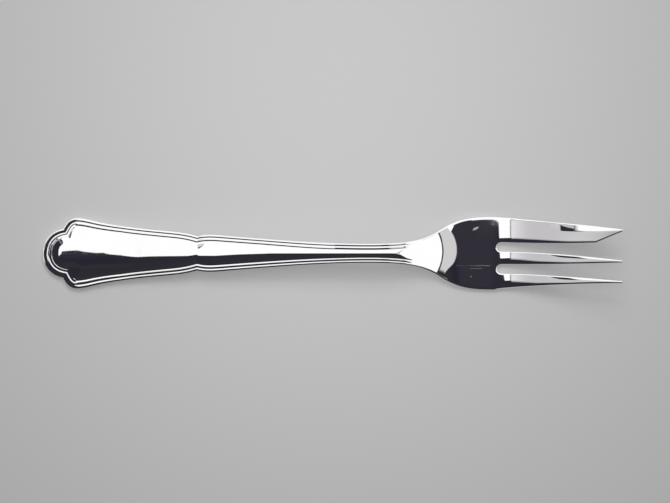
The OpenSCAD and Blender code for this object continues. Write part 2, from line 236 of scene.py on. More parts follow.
# Points that each smooth stretch of the outline is measured with
OUTLINE_N = 3001
REST_OUTLINE_N = 9001


def lerp(a, b, t):
    return a + (b - a) * t


def share(x, a, b):
    return np.clip((x - a) / (b - a), 0, 1)


def ease(t):
    return t * t * (3 - 2 * t)


def ramp(x, a, b):
    return ease(share(x, a, b))


def table(rows, x):
    return np.interp(x, *zip(*rows))


def steps(a, b, n):
    """n even steps from a to b, without a itself."""
    return np.linspace(a, b, n + 1)[1:]


def between(n):
    """n even shares between 0 and 1, without both."""
    return steps(0, 1, n + 1)[:-1]


def soft_min(a, b, k):
    h = np.clip(0.5 + 0.5 * (b - a) / k, 0, 1)
    return lerp(b, a, h) - k * h * (1 - h)


def knots(shares, p, q):
    """Rows of place, value and slope of a stretch from p to q."""
    mean = (q[1] - p[1]) / (q[0] - p[0])
    return np.array([(lerp(p[0], q[0], s), lerp(p[1], q[1], r), m * mean) for s, r, m in shares])


def cubic(k, x):
    """Value of the smooth curve through knots k at places x."""
    x = np.asarray(x, float)
    i = np.clip(np.searchsorted(k[:, 0], x, side="right") - 1, 0, len(k) - 2)
    w = k[i + 1, 0] - k[i, 0]
    t = np.clip((x - k[i, 0]) / w, 0, 1)
    rise = k[i + 1, 1] - k[i, 1]
    return k[i, 1] + rise * ease(t) + w * t * (1 - t) * (k[i, 2] * (1 - t) - k[i + 1, 2] * t)


def join(x, stretches):
    """Value at x of curves that follow each other along the fork."""
    x = np.asarray(x, float)
    value = cubic(stretches[0], x)
    for k in stretches[1:]:
        value = np.where(x >= k[0, 0], cubic(k, x), value)
    return value


ARCH_CURVES = [
    knots(RISE_TO_ARCH, (REST_L, 0), ARCH),
    knots(DROP_TO_BELLY, ARCH, (BELLY_X, 0)),
    knots(RISE_TO_TIP, (BELLY_X, 0), (FORK_L, TIP_Z)),
]
SIDE_CURVES = [
    knots(TAPER, LOBE, SHOULDER),
    knots(SWELL_BEND, SHOULDER, SWELL),
    knots(WAIST, SWELL, NECK),
    knots(FLARE, NECK, PALM),
]
CUT_CURVE = knots(CUT_EDGE, PALM, (FORK_L, CUT_TIP_Y + TIP_W / 2))


def back_z(x):
    return join(x, ARCH_CURVES)


def half_w(x):
    return join(x, SIDE_CURVES)


def thick(x):
    handle = lerp(END_T, NECK_T, ramp(x, 0, NECK[0]))
    head = lerp(NECK_T, PALM_T, ramp(x, NECK[0], ROOT_X))
    tines = (PALM_T - TIP_T) * share(x, THINNING_X, FORK_L)
    return np.where(x < NECK[0], handle, head) - tines


def base_z(x):
    """Height of the plain face at place x."""
    dip = PALM_DIP * (ramp(x, *DIP_X) - ramp(x, *DIP_END_X))
    early = ONSET * (ramp(x, *ONSET_X[:2]) - ramp(x, *ONSET_X[1:]))
    return back_z(x) + thick(x) - dip + early


def face_z(x, y):
    """Height of the handle's and the palm's plain face. Beside the tongue it falls sooner."""
    window = ramp(x, *TONGUE_X) * (1 - ramp(x, *TONGUE_END_X))
    return base_z(x + TONGUE_BEND * (y - TONGUE_Y) ** 2 * window)


class Outline:
    """A smooth stretch of the outline by its length. It runs on straight past both ends."""

    def __init__(self, points):
        self.points = points
        self.s = np.concatenate([[0], np.cumsum(np.hypot(*np.diff(points, axis=0).T))])
        self.tangents = np.gradient(points, self.s, axis=0)
        self.length = self.s[-1]

    def at(self, s):
        """Points and tangents at lengths s, or the point and tangent at one length."""
        inside = np.clip(s, 0, self.length)
        p = np.stack([np.interp(inside, self.s, self.points[:, k]) for k in (0, 1)], -1)
        t = np.stack([np.interp(inside, self.s, self.tangents[:, k]) for k in (0, 1)], -1)
        t /= np.linalg.norm(t, axis=-1, keepdims=True)
        return p + t * (s - inside)[..., None], t

    def inside(self, s, depth):
        """Points at a depth inside the outline."""
        p, t = self.at(s)
        return p + np.stack([t[..., 1], -t[..., 0]], -1) * depth[..., None]


def outline_pieces():
    """The three smooth stretches of the +Y outline: the end, the lobe with the taper, the rest."""
    dense = np.linspace(0, 1, OUTLINE_N)
    notch_a = math.acos((1 - NOTCH[0] / END_L) ** (END_FULL / 2))
    end_half_w = NOTCH[1] / math.sin(notch_a) ** (2 / END_FULL)
    a = notch_a * dense
    end = np.stack(
        [END_L * (1 - np.cos(a) ** (2 / END_FULL)), end_half_w * np.sin(a) ** (2 / END_FULL)], -1
    )
    first = NOTCH + LOBE_REACH[0] * np.array([math.cos(LOBE_A), math.sin(LOBE_A)])
    second = LOBE - np.array([LOBE_REACH[1], 0])
    t = dense[:, None]
    lobe = (1 - t) ** 3 * NOTCH + 3 * (1 - t) ** 2 * t * first
    lobe += 3 * (1 - t) * t ** 2 * second + t ** 3 * LOBE
    x = lerp(LOBE[0], SHOULDER[0], dense[1:])
    taper = np.stack([x, half_w(x)], -1)
    taper[-1] = SHOULDER
    x = lerp(SHOULDER[0], ROOT_X - BACK_R, np.linspace(0, 1, REST_OUTLINE_N))
    rest = np.stack([x, half_w(x)], -1)
    return Outline(end), Outline(np.concatenate([lobe, taper])), Outline(rest)


def half_turn(a, b):
    """Tangent of half the turn from the end of outline a to the start of outline b."""
    p, q = a.tangents[-1], b.tangents[0]
    return math.tan(math.atan2(p[0] * q[1] - p[1] * q[0], p @ q) / 2)


def stations():
    """Outline piece, length along it, lean of the rows and foot of each ring up to the slots."""
    end, lobe, rest = outline_pieces()
    notch_k, shoulder_k = half_turn(end, lobe), half_turn(lobe, rest)
    first_foot = LOBE[0] * FAN_SHARE
    fan = end.length + np.interp(LOBE[0], lobe.points[:, 0], lobe.s)
    made = []
    for s in np.linspace(0, end.length, END_N):
        k = notch_k * share(s, end.length - NOTCH_LEAN, end.length) ** 2
        made.append((end, s, k, lerp(first_foot, LOBE[0], s / fan)))
    for s in (*steps(0, LOBE_S, LOBE_N), *steps(LOBE_S, lobe.length, TAPER_N)):
        k = shoulder_k * share(s, lobe.length - SHOULDER_LEAN, lobe.length) ** 2
        k -= notch_k * share(s, NOTCH_LEAN, 0) ** 2
        past = end.length + s
        foot = lerp(first_foot, LOBE[0], past / fan) if past < fan else lobe.at(s)[0][0]
        made.append((lobe, s, k, foot))
    for s in steps(0, rest.length, REST_N):
        k = -shoulder_k * share(s, SHOULDER_LEAN, 0) ** 2
        made.append((rest, s, k, rest.at(s)[0][0]))
    return [(piece, s, k, np.array([foot, 0.0])) for piece, s, k, foot in made]


def thread_scale(x):
    return table(THREAD_SCALE, x)


def groove(d):
    """Depth of a groove at a distance d inwards from its bottom: steep outside, gentle inside."""
    steep = np.clip(1 + d / GROOVE_STEEP, 0, 1) ** 2
    gentle = np.clip(1 - d / GROOVE_GENTLE, 0, 1) ** GENTLE_POWER
    return np.where(d < 0, steep, gentle)


def round_width(x):
    rim = lerp(END_RIM, RIM_ROUND * thread_scale(x), ramp(x, *END_X))
    return lerp(rim, PALM_ROUND, ramp(x, *PALM_EDGE_X))


def crown(x, y, depth_in):
    """Height of the panel over the threads, at a distance depth_in from its edge."""
    w = np.where(x < LOBE[0], LOBE[1], half_w(x))
    reach = w - PANEL_EDGE * thread_scale(x)
    full = CROWN_H * np.minimum(1, reach / CROWN_REACH) * (1 - ramp(x, *CROWN_END_X))
    bow = full * (1 - ((y - table(RIDGE, x)) / (reach + CROWN_SPARE)) ** 2)
    turn = np.maximum(table(ROLL_W, x), END_ROLL_W * (1 - ramp(np.abs(y), *END_ROLL_Y)))
    after = ROLL_SLOPE * turn + AFTER_ROLL * (depth_in - turn)
    return soft_min(bow, np.minimum(ROLL_SLOPE * depth_in, after), ROLL_SOFT)


def panel_line(places):
    """Points of the panel's edge round the handle's end, from one side to the other."""
    made = []
    for piece, s, k, _ in places:
        x = piece.at(s)[0][0]
        if x < PANEL_LINE_L:
            depth = PANEL_EDGE * thread_scale(x)
            made.append(piece.inside(s + k * depth, depth))
    made = np.array(made)
    return np.concatenate([made[::-1], made[1:] * [1, -1]])


def edge_distance(x, y, plain, line):
    """Distance from the panel's edge line near the handle's end, and the plain one beyond."""
    if x.min() > PANEL_LINE_X[1]:
        return plain
    a = line[:-1]
    along = line[1:] - a
    p = np.stack([x, y], -1)[:, None] - a
    t = np.clip((p * along).sum(-1) / (along * along).sum(-1), 0, 1)
    true = np.linalg.norm(p - t[..., None] * along, axis=-1).min(1)
    return lerp(true, plain, ramp(x, *PANEL_LINE_X))


# Rounded edges as rows: how far in and how far down each row lies, as shares of the radius
round_a = np.linspace(0, math.pi / 2, ROUND_N + 1)
round_in = 1 - np.cos(round_a)
round_drop = 1 - np.sin(round_a)
back_a = np.linspace(0, math.pi / 2, BACK_ROUND_N + 1)
back_in = 1 - np.cos(back_a)
back_rise = 1 - np.sin(back_a)
thread_depths = steps(RIM_ROUND, FACE_DEPTH, THREAD_ROWS)
panel_shares = steps(0, 1, PANEL_ROWS)

# The y of both sides of each tine at its root, and of the middle of each slot
cut_root = (PALM[1], PALM[1] - CUT_W)
mid_root = (cut_root[1] - SLOT_W, cut_root[1] - SLOT_W - MID_W)
out_root = (mid_root[1] - SLOT_W, -PALM[1])
slot_y = ((cut_root[1] + mid_root[0]) / 2, (mid_root[1] + out_root[0]) / 2)


def edge_rows(rim, flat_n):
    """Heights of an edge's rows at both sides of a ring, with flat_n flat rows between them."""
    return np.concatenate([rim, np.zeros(flat_n), rim[::-1]])


def handle_rows(piece, s, k, foot):
    """Points of one station's rows on the +Y side, and their distances inside the outline."""
    (x, _), t = piece.at(s)
    depths = np.concatenate([round_width(x) * round_in, thread_depths * thread_scale(x)])
    points = piece.inside(s + k * depths, depths)
    last = points[-1]
    panel = last + (foot - last) * panel_shares[:, None]
    beyond = (panel - last) @ [t[1], -t[0]]
    return np.concatenate([points, panel]), np.concatenate([depths, depths[-1] + beyond])


def palm_rows(w):
    """The y of all rows over the palm where its half width is w."""
    k = w / PALM[1]
    a, b = slot_y[0] * k, slot_y[1] * k
    inner = w - PALM_ROUND
    wide = steps(0, 1, WIDE_N + 1)
    rim = w - PALM_ROUND * round_in
    middle = lerp(a, b, steps(0, 1, MID_N + 1))
    return np.concatenate([rim, lerp(inner, a, wide), middle, lerp(b, -inner, wide), -rim[-2::-1]])


def palm_back_rows(w):
    k = w / PALM[1]
    a, b = slot_y[0] * k, slot_y[1] * k
    rim = w - BACK_R * back_in
    wide = between(BACK_WIDE_N)
    middle = lerp(b, a, between(BACK_MID_N))
    return np.concatenate([
        -rim, lerp(-rim[-1], b, wide), [b], middle, [a], lerp(a, rim[-1], wide), rim[::-1],
    ])


def face_ring(piece, s, k, foot, line):
    """The upper points of the ring at one station of the handle, the neck or the palm."""
    (x0, w), _ = piece.at(s)
    palm_share = ramp(x0, *PALM_ROWS_X)
    rows, depth = handle_rows(piece, s, k, foot)
    full = np.concatenate([rows, rows[-2::-1] * [1, -1]])
    depth = np.concatenate([depth, depth[-2::-1]])
    x = lerp(full[:, 0], x0, palm_share)
    y = lerp(full[:, 1], palm_rows(w), palm_share)
    rim_drop = lerp(RIM_DROP, EDGE_R, ramp(x0, *PALM_EDGE_X))
    drop = edge_rows(round_drop * rim_drop, TOP_N - 2 * (ROUND_N + 1))
    scale = thread_scale(x)
    wider = 1 + UPPER_THREAD_SHARE * ramp(x, *UPPER_THREAD_X) * (y > 0)
    threads = sum(groove(depth / scale - g * wider) for g in GROOVES)
    cut = GROOVE_DEPTH * scale * threads * (1 - ramp(x, *THREADS_END_X))
    low, high, lobe = (table(cuts, depth) for cuts in END_CUTS)
    high = lerp(high, lobe, ramp(x0, *NEAR_LOBE_X))
    cut = lerp(lerp(low, high, ramp(y, *END_SIDE_Y)), cut, ramp(x0, *END_X))
    plain = depth - PANEL_EDGE * scale
    inside = np.where(plain > 0, edge_distance(x, y, plain, line), 0)
    rise = np.where(inside > 0, crown(x, y, inside), 0) * (1 - palm_share)
    return np.stack([x, y, face_z(x, y) - drop - cut + np.maximum(rise, 0)], -1)


def back_ring(piece, s, foot):
    """The points of the same ring on the fork's plain back."""
    edge, t = piece.at(s)
    x0, w = edge
    palm_share = ramp(x0, *PALM_ROWS_X)
    rim = edge + np.array([t[1], -t[0]]) * (BACK_R * back_in)[:, None]
    n = BACK_N - 2 * (BACK_ROUND_N + 1)
    towards = np.abs(1 - 2 * between(n))
    middle = foot + (rim[-1] - foot) * towards[:, None]
    middle[:(n - 1) // 2, 1] *= -1
    back = np.concatenate([rim * [1, -1], middle, rim[::-1]])
    x = lerp(back[:, 0], x0, palm_share)
    y = lerp(back[:, 1], palm_back_rows(w), palm_share)
    return np.stack([x, y, back_z(x) + edge_rows(back_rise * BACK_R, n)], -1)


def bowed(x, a, b, bow):
    t = (x - a[0]) / (b[0] - a[0])
    return lerp(a[1], b[1], t) + bow * 4 * t * (1 - t)


def cut_sides(x):
    inner = bowed(x, (STRAIGHT_X, cut_root[1]), (SLANT_X, SLANT_Y), CUT_BOW)
    slant = lerp(SLANT_Y, CUT_TIP_Y - TIP_W / 2, (x - SLANT_X) / SLANT_L)
    return float(cubic(CUT_CURVE, x)), inner if x < SLANT_X else slant


def mid_sides(x):
    return (
        bowed(x, (STRAIGHT_X, mid_root[0]), (FORK_L, TIP_W / 2 - MID_TIP_Y), MID_BOWS[0]),
        bowed(x, (STRAIGHT_X, mid_root[1]), (FORK_L, -TIP_W / 2 - MID_TIP_Y), MID_BOWS[1]),
    )


def out_sides(x):
    return (
        bowed(x, (STRAIGHT_X, out_root[0]), (FORK_L, TIP_W / 2 - OUT_TIP_Y), OUT_BOWS[0]),
        bowed(x, PALM * [1, -1], (FORK_L, -TIP_W / 2 - OUT_TIP_Y), OUT_BOWS[1]),
    )


# Each tine's sides, which of the two is on a slot, and the middle of that slot
TINES = (
    (cut_sides, (False, True), (0, slot_y[0])),
    (mid_sides, (True, True), slot_y),
    (out_sides, (True, False), (slot_y[1], 0)),
)


def tine_drop(m, x, points, low_y):
    """How far the face of tine m lies under its plain height at points of the ring at x."""
    y = points[:, 1]
    across = y - table(BEVEL_Y[m], x)
    up = 0.5 * (across + np.sqrt(across ** 2 + table(BEVEL_SOFT[m], x) ** 2))
    drop = table(BEVEL_SLOPE[m], x) * up + table(LOWER_TILT, x) * np.maximum(-across, 0)
    if m == 0:
        drop = drop + table(LIP_SLOPE, x) * np.maximum(y - table(LIP_Y, x), 0)
    edge = y - low_y
    if m < 2 and x < STRAIGHT_X:
        edge = np.hypot(points[:, 0] - STRAIGHT_X, y - slot_y[m]) - SLOT_W / 2
    soft = table(SOFT_W[m], x)
    return drop + SOFT_DROP * soft * np.clip(1 - edge / soft, 0, 1) ** 2


def tine_ring(m, x, passed, width):
    """Points round tine m at place x. passed is the part of the slots' round ends behind it."""
    find_sides, on_slot, slots = TINES[m]
    sides = find_sides(x)
    a = math.radians(90) * passed
    full_t = thick(x)
    t = full_t * lerp(POINT_SHARE, 1, width)
    lift = (full_t - t) / 2
    slot_x = ROOT_X + SLOT_W / 2 * (1 - math.cos(a)) if passed < 1 else x
    ys = [lerp((sides[0] + sides[1]) / 2, side, width) for side in sides]
    tine_w = ys[0] - ys[1]
    r = min(EDGE_R, ROUND_SHARE * min(tine_w, t))
    wide_r = min(lerp(PALM_ROUND, TINE_ROUND, ramp(x, *TINE_ROUND_X)), ROUND_SHARE * tine_w)
    rims, backs = [], []
    for i, turn in enumerate((-1, 1)):
        if on_slot[i]:
            y = slots[i] + turn * SLOT_W / 2 * math.sin(a) if passed < 1 else ys[i]
            edge = np.array([slot_x, y])
            normal = np.array([-math.cos(a), turn * math.sin(a)])
            r_in = r
        else:
            edge = np.array([x, ys[i]])
            normal = np.array([0, turn])
            r_in = wide_r
        rims.append(edge + normal * (r_in * round_in)[:, None])
        backs.append(edge + normal * (r * back_in)[:, None])
    face_n, under_n = (MID_N, BACK_MID_N) if all(on_slot) else (WIDE_N, BACK_WIDE_N)
    face = lerp(rims[0][-1], rims[1][-1], between(face_n)[:, None])
    top = np.concatenate([rims[0], face, rims[1][::-1]])
    drop = edge_rows(r * round_drop, face_n) + tine_drop(m, x, top, ys[1]) * width
    z_top = base_z(top[:, 0]) - lift - drop
    under = lerp(backs[1][-1], backs[0][-1], between(under_n)[:, None])
    back = np.concatenate([backs[1], under, backs[0][::-1]])
    z_back = back_z(back[:, 0]) + lift + edge_rows(r * back_rise, under_n)
    return np.column_stack([np.concatenate([top, back]), np.concatenate([z_top, z_back])])


def tine_places():
    """Place, passed part of the slots' ends and share of the full width of each tine's rings."""
    places = [(lerp(ROOT_X - EDGE_R, STRAIGHT_X, p), p, 1) for p in steps(0, 1, SLOT_N)]
    places += [(x, 1, 1) for x in steps(STRAIGHT_X, SLANT_X, TINE_N)]
    places += [(x, 1, 1) for x in steps(SLANT_X, FORK_L - TIP_W / 2, SLANT_N)]
    for a in steps(0, POINT_A, TIP_N):
        x = FORK_L - TIP_W / 2 * (1 - math.sin(a) / math.sin(POINT_A))
        places.append((x, 1, math.cos(a)))
    return places


def slot_middles():
    """Points in the middle of each slot's round end: over the face first, then the back."""
    x = ROOT_X - EDGE_R * round_in[-2::-1]
    z = base_z(x) - EDGE_R * round_drop[-2::-1]
    back_x = ROOT_X - BACK_R * back_in[:-1]
    back_height = back_z(back_x) + BACK_R * back_rise[:-1]
    xs, zs = np.concatenate([x, back_x]), np.concatenate([z, back_height])
    return [np.stack([xs, np.full(len(xs), y), zs], -1) for y in slot_y]


def tine_starts(last, slots):
    """Rings of point numbers that the tines start from: parts of the last ring and the slots."""
    top_a, top_b = SEAM, TOP_N - 1 - SEAM
    under_a, under_b = RING_N - 1 - BACK_SEAM, TOP_N + BACK_SEAM
    tops = [slot[:ROUND_N][::-1] for slot in slots]
    unders = [slot[ROUND_N:][::-1] for slot in slots]
    return (
        np.concatenate([last[:top_a + 1], slots[0], last[under_a:]]),
        np.concatenate([
            tops[0], last[top_a:top_b + 1], slots[1], last[under_b:under_a + 1], unders[0],
        ]),
        np.concatenate([tops[1], last[top_b:under_b + 1], unders[1]]),
    )


class Points:
    """Rows of points in the order in which they are added."""

    def __init__(self):
        self.rows = []
        self.count = 0

    def add(self, rows):
        """Adds rows and returns their numbers."""
        self.rows.append(rows)
        self.count += len(rows)
        return np.arange(self.count - len(rows), self.count)


def quads(a, b):
    """Faces between two rings of point numbers, a behind b."""
    n = len(a)
    return [(a[k], b[k], b[(k + 1) % n], a[(k + 1) % n]) for k in range(n)]


def fork_mesh():
    """The points of the fork, and its faces as point numbers."""
    points = Points()
    places = stations()
    line = panel_line(places)
    rings = [
        np.concatenate([face_ring(piece, s, k, foot, line), back_ring(piece, s, foot)])
        for piece, s, k, foot in places
    ]
    ids = np.array([points.add(ring) for ring in rings])
    # The first ring is flat, so its two halves share their points
    top = np.arange(TOP_N)
    under = np.arange(BACK_N)
    ids[0, :TOP_N] = np.minimum(top, TOP_N - 1 - top)
    ids[0, TOP_N:] = TOP_N + np.maximum(under, BACK_N - 1 - under)
    faces = []
    for a, b in zip(ids[:-1], ids[1:]):
        faces += quads(a, b)
    starts = tine_starts(ids[-1], [points.add(middle) for middle in slot_middles()])
    for m, behind in enumerate(starts):
        for x, passed, width in tine_places():
            here = points.add(tine_ring(m, x, passed, width))
            faces += quads(behind, here)
            behind = here
        faces.append(tuple(behind[::-1]))
    used = np.unique(np.concatenate([np.array(f) for f in faces]))
    number = np.full(points.count, -1)
    number[used] = np.arange(len(used))
    faces = [tuple(int(number[i]) for i in f) for f in faces]
    return np.concatenate(points.rows)[used], faces


def make_fork():
    points, faces = fork_mesh()
    mesh = bpy.data.meshes.new("fork_body")
    mesh.from_pydata(((points - [FORK_L / 2, 0, 0]) * MM).tolist(), [], faces)
    mesh.validate()
    mesh.shade_smooth()
    fork = bpy.data.objects.new("fork_body", mesh)
    bpy.context.scene.collection.objects.link(fork)
    return fork


class Value:
    """A number in a node tree, so that node sums can be written as sums."""

    def __init__(self, tree, socket):
        self.tree = tree
        self.socket = socket

    def _made(self, operation, *others):
        node = self.tree.nodes.new("ShaderNodeMath")
        node.operation = operation
        for slot, value in zip(node.inputs, (self, *others)):
            if isinstance(value, Value):
                self.tree.links.new(value.socket, slot)
            else:
                slot.default_value = value
        return Value(self.tree, node.outputs[0])

    def __add__(self, other):
        return self._made("ADD", other)

    def __sub__(self, other):
        return self._made("SUBTRACT", other)

    def __mul__(self, other):
        return self._made("MULTIPLY", other)

    def __truediv__(self, other):
        return self._made("DIVIDE", other)

    def __neg__(self):
        return self * -1.0

    def most(self, other):
        return self._made("MAXIMUM", other)

    def size(self):
        return self._made("ABSOLUTE")

    def step(self, a, b):
        """0 below a, 1 above b and smooth between them."""
        node = self.tree.nodes.new("ShaderNodeMapRange")
        node.interpolation_type = "SMOOTHSTEP"
        self.tree.links.new(self.socket, node.inputs["Value"])
        node.inputs["From Min"].default_value = a
        node.inputs["From Max"].default_value = b
        return Value(self.tree, node.outputs["Result"])


def place_values(tree, kind):
    """The three coordinates of the shaded place, of one kind."""
    coordinates = tree.nodes.new("ShaderNodeTexCoord")
    split = tree.nodes.new("ShaderNodeSeparateXYZ")
    tree.links.new(coordinates.outputs[kind], split.inputs[0])
    return [Value(tree, socket) for socket in split.outputs]


def mixed(tree, factor, a, b):
    """Colour between a and b. Either may be a colour or a node output."""
    node = tree.nodes.new("ShaderNodeMix")
    node.data_type = "RGBA"
    tree.links.new(factor.socket, node.inputs["Factor"])
    for name, value in (("A", a), ("B", b)):
        slot = [s for s in node.inputs if s.name == name and s.type == "RGBA"][0]
        if isinstance(value, tuple):
            slot.default_value = (*value, 1)
        else:
            tree.links.new(value, slot)
    return [s for s in node.outputs if s.type == "RGBA"][0]


NAVY = (0.022, 0.021, 0.034)
DIM = (0.034, 0.033, 0.044)
WARM = (0.033, 0.030, 0.035)
BLUE = (0.026, 0.026, 0.036)
GREY = (0.86, 0.84, 0.85)
DEEP_GREY = (0.60, 0.585, 0.60)
LOW_GREY = (0.40, 0.39, 0.40)
RIGHT_GREY = (0.69, 0.67, 0.68)
MID_GREY = (0.35, 0.34, 0.35)
WHITE = (1.12, 1.12, 1.12)
# What the camera sees past the floor, and the plain level that lights everything
PALE = (0.56, 0.56, 0.56)
PLAIN = (0.21, 0.21, 0.21)

# The studio as the steel mirrors it, by direction: u runs to the right of the picture, v to
# its top, lean is u with a part of v, and far is the square of the distance from straight up.
# Each area has a colour and its edges: a measure, where the area starts, where it is full.
# Later areas lie over earlier ones.
LEAN_SHARE = 0.35
DARK_AREAS = (
    (NAVY, (("v", 0.0, -0.05),)),
    (WARM, (("v", -0.06, -0.2),)),
    (BLUE, (("u", -0.1, -0.3),)),
)
GREY_AREAS = (
    (DEEP_GREY, (("u", -0.45, -0.62),)),
    (LOW_GREY, (("v", -0.02, -0.14),)),
)
# The grey area at the left. All that the areas leave free is dark
LEFT_EDGES = (("u", -0.44, -0.47), ("v", 0.1, 0.088), ("v", -0.24, -0.2))
STUDIO_AREAS = (
    (RIGHT_GREY, (("u", -0.22, -0.26), ("v", 0.33, 0.35))),
    (WHITE, (("u", -0.65, -0.68), ("v", -0.3, -0.26))),
    (WHITE, (("u", -0.44, -0.47), ("v", 0.2, 0.26))),
    (RIGHT_GREY, (("lean", 0.43, 0.45), ("v", -0.24, -0.2))),
    (NAVY, (("u", 0.66, 0.663),)),
    (WHITE, (("u", 0.674, 0.677),)),
    (MID_GREY, (("u", 0.674, 0.677), ("v", -0.25, -0.35))),
    (NAVY, (("far", 0.62, 0.68), ("u", -0.3, -0.2), ("v", -0.1, -0.15))),
    (WHITE, (("u", 0.38, 0.4), ("v", 0.24, 0.25))),
    (WHITE, (("v", 0.42, 0.44),)),
)


def area(measures, edges):
    """1 inside an area and 0 outside it."""
    made = None
    for name, start, full in edges:
        value = measures[name]
        side = value.step(start, full) if start < full else (-value).step(-start, -full)
        made = side if made is None else made * side
    return made


def painted(tree, measures, colour, areas):
    """Colour with the areas laid over it."""
    for area_colour, edges in areas:
        colour = mixed(tree, area(measures, edges), colour, area_colour)
    return colour


def background(tree, colour):
    node = tree.nodes.new("ShaderNodeBackground")
    if isinstance(colour, tuple):
        node.inputs["Color"].default_value = (*colour, 1)
    else:
        tree.links.new(colour, node.inputs["Color"])
    return node.outputs[0]


def chosen(tree, ray, other, own):
    """The shader own for one kind of ray and the shader other for the rest."""
    node = tree.nodes.new("ShaderNodeMixShader")
    for slot, socket in zip(node.inputs, (ray, other, own)):
        tree.links.new(socket, slot)
    return node.outputs[0]


def make_world():
    world = bpy.data.worlds.new("studio")
    bpy.context.scene.world = world
    world.use_nodes = True
    tree = world.node_tree
    tree.nodes.clear()
    u, v, _ = place_values(tree, "Generated")
    measures = {"u": u, "v": v, "lean": u + v * LEAN_SHARE, "far": u * u + v * v}
    dark = painted(tree, measures, DIM, DARK_AREAS)
    grey = painted(tree, measures, GREY, GREY_AREAS)
    studio = mixed(tree, area(measures, LEFT_EDGES), dark, grey)
    studio = painted(tree, measures, studio, STUDIO_AREAS)
    ray = tree.nodes.new("ShaderNodeLightPath").outputs
    light = chosen(tree, ray["Is Glossy Ray"], background(tree, PLAIN), background(tree, studio))
    light = chosen(tree, ray["Is Camera Ray"], light, background(tree, PALE))
    output = tree.nodes.new("ShaderNodeOutputWorld")
    tree.links.new(light, output.inputs["Surface"])


# The white card over the fork and a small grey one beside it, in millimetres. Only
# reflections see them.
CARD_Z = 405
GREY_CARD = (0.58, 0.565, 0.572)
GREY_CARD_EDGE = ((-207, 12), (-155.5, 12), (-155.5, 110), (-207, 110))
CARD_EDGE = (
    (-155, -21), (-139, -16), (-123, -9), (-101, -3.7), (-88, -1), (-86, 3), (-82.5, 6),
    (-80, 9), (-60, 9.6), (100, 12), (112, 40), (213, 60), (213, 600), (-155, 600),
)


def flat_mesh(name, corners, z):
    mesh = bpy.data.meshes.new(name)
    mesh.from_pydata([(x * MM, y * MM, z * MM) for x, y in corners], [], [range(len(corners))])
    made = bpy.data.objects.new(name, mesh)
    bpy.context.scene.collection.objects.link(made)
    return made


def make_card(name, edge, colour):
    card = flat_mesh(name, edge, CARD_Z)
    material = bpy.data.materials.new(name)
    material.use_nodes = True
    tree = material.node_tree
    tree.nodes.clear()
    glow = tree.nodes.new("ShaderNodeEmission")
    glow.inputs["Color"].default_value = (*colour, 1)
    output = tree.nodes.new("ShaderNodeOutputMaterial")
    tree.links.new(glow.outputs[0], output.inputs["Surface"])
    card.data.materials.append(material)
    card.visible_camera = False
    card.visible_diffuse = False
    card.visible_shadow = False
    card.visible_transmission = False
    card.visible_volume_scatter = False


# The floor: half its side, its faint glow, its tone and how that falls off from a middle.
# The glow is painted light that lifts the floor and its shadows alike, and the fall is a painted
# shade, darker away from the middle as light falls off. The fall is by distances in decimetres
# along x and y, and it levels off at a third.
FLOOR_HALF = 4000
FLOOR_GLOW = 0.31
FLOOR_ROUGHNESS = 0.9
FLOOR_TONE = 0.6
FLOOR_MIDDLE_Y = 0.4
FLOOR_PAINTED_SHADE_FALL = (0.19, 0.16)
FLOOR_LEVELLING = 3
DECIMETRES = 10.0


def make_floor():
    h = FLOOR_HALF
    floor = flat_mesh("floor", ((-h, -h), (h, -h), (h, h), (-h, h)), 0)
    material = bpy.data.materials.new("pale_floor")
    material.use_nodes = True
    tree = material.node_tree
    shader = tree.nodes["Principled BSDF"]
    shader.inputs["Roughness"].default_value = FLOOR_ROUGHNESS
    shader.inputs["Specular IOR Level"].default_value = 0.0
    x, y, _ = place_values(tree, "Object")
    x = x * DECIMETRES
    y = y * DECIMETRES - FLOOR_MIDDLE_Y
    # Painted shade: the floor's colour grows darker away from the middle, as if less light reached
    # it
    far = x * x * FLOOR_PAINTED_SHADE_FALL[0] + y * y * FLOOR_PAINTED_SHADE_FALL[1]
    painted_shade = -(far / (far * FLOOR_LEVELLING + 1)) + FLOOR_TONE
    colour = tree.nodes.new("ShaderNodeCombineColor")
    for slot in colour.inputs:
        tree.links.new(painted_shade.socket, slot)
    tree.links.new(colour.outputs[0], shader.inputs["Base Color"])
    tree.links.new(colour.outputs[0], shader.inputs["Emission Color"])
    # Painted light: the floor glows in its own painted shade, so its shadows stay light
    shader.inputs["Emission Strength"].default_value = FLOOR_GLOW
    floor.data.materials.append(material)


# The steel and its wear. Noise has its waves a millimetre along the three axes, and the
# directions of the scratches are in degrees
TINTS = ((0.905, 0.900, 0.905), (0.880, 0.878, 0.888))
CLOUDS = (0.09, 0.13, 0.1)
CLOUD_TURN = 12
CLOUD_STEP = (0.5, 0.75)
GRAIN = (3.0, 3.0, 3.0)
SCRATCHES = (0.16, 9.0, 0.16)
SCRATCH_TURNS = (3, -41, 68)
SCRATCH_STEP = (0.66, 0.74)
WAVES = (0.06, 0.11, 0.08)
# Roughness of the bare polish, and what clouds, grain, scratches and marks add to it
PLAIN_ROUGHNESS = 0.014
CLOUD_ROUGHNESS = 0.012
GRAIN_ROUGHNESS = 0.012
SCRATCH_ROUGHNESS = 0.02
MARK_ROUGHNESS = 0.24
WAVE_HEIGHT = 0.0035
SCRATCH_DEPTH = 0.00015
# Marks on the palm's face, so none below these heights. Two long scratches: from x, to x, y.
# Each is gone at the first half width and full at the second, and fades in along its run.
# A dent: x, y, radius. A smear: x, y, half its length and width, and its direction
PALM_Z = (0.9, 1.2)
LONG_SCRATCHES = ((31.0, 42.0, -3.2), (32.5, 39.5, -3.95))
LONG_HALF_W = (0.09, 0.03)
LONG_FADE = 1.5
BREAKS = (1.2, 1.2, 1.2)
BREAK_DEPTH = 0.9
DENT = (35.9, -6.0, 0.28)
SMEAR = (37.1, 6.4, 1.1, 0.35)
SMEAR_TURN = (0.88, 0.47)
SMEAR_STEP = (-1, -0.2)
SMEAR_SHARE = 0.6


